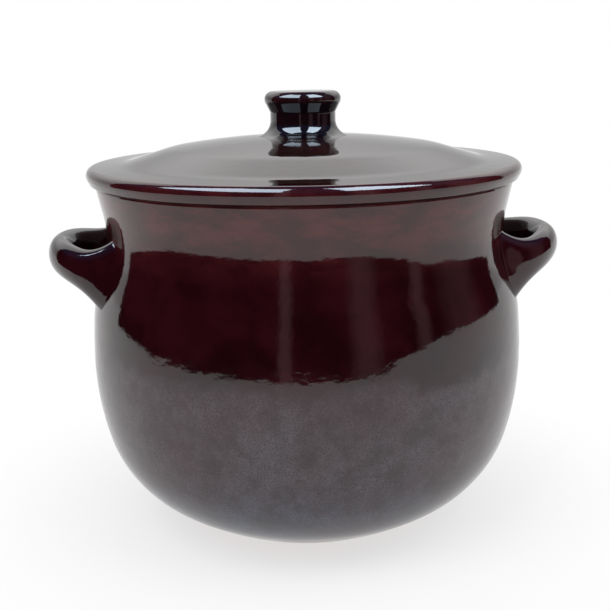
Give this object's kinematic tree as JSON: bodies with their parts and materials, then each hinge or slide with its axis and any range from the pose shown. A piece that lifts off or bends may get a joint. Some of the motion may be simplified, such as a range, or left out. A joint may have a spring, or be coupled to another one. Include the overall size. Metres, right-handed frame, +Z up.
{
  "type": "lidded bean pot",
  "caption": "Round glazed earthenware cooking pot with a flared neck, two loop handles and a loose domed lid with a turned knob.",
  "frame": {"origin": "centre of the foot's flat underside, on the pot's turning axis, where the pot stands", "axes": "+Z up along the turning axis, X through the two handles, with handle_right at +X; +Y away from the viewer of the picture"},
  "size_m": [0.2888, 0.244, 0.242],
  "materials": {
    "glaze": "gloss"
  },
  "bodies": {
    "pot": {"pot_body": "glaze", "handle_left": "glaze", "handle_right": "glaze"},
    "lid": {"lid": "glaze", "knob": "glaze"}
  },
  "joints": [
    {"name": "lid_lift", "type": "slide", "parent": "pot", "child": "lid", "axis": [0, 0, 1], "range_m": [0, 0.25]}
  ]
}
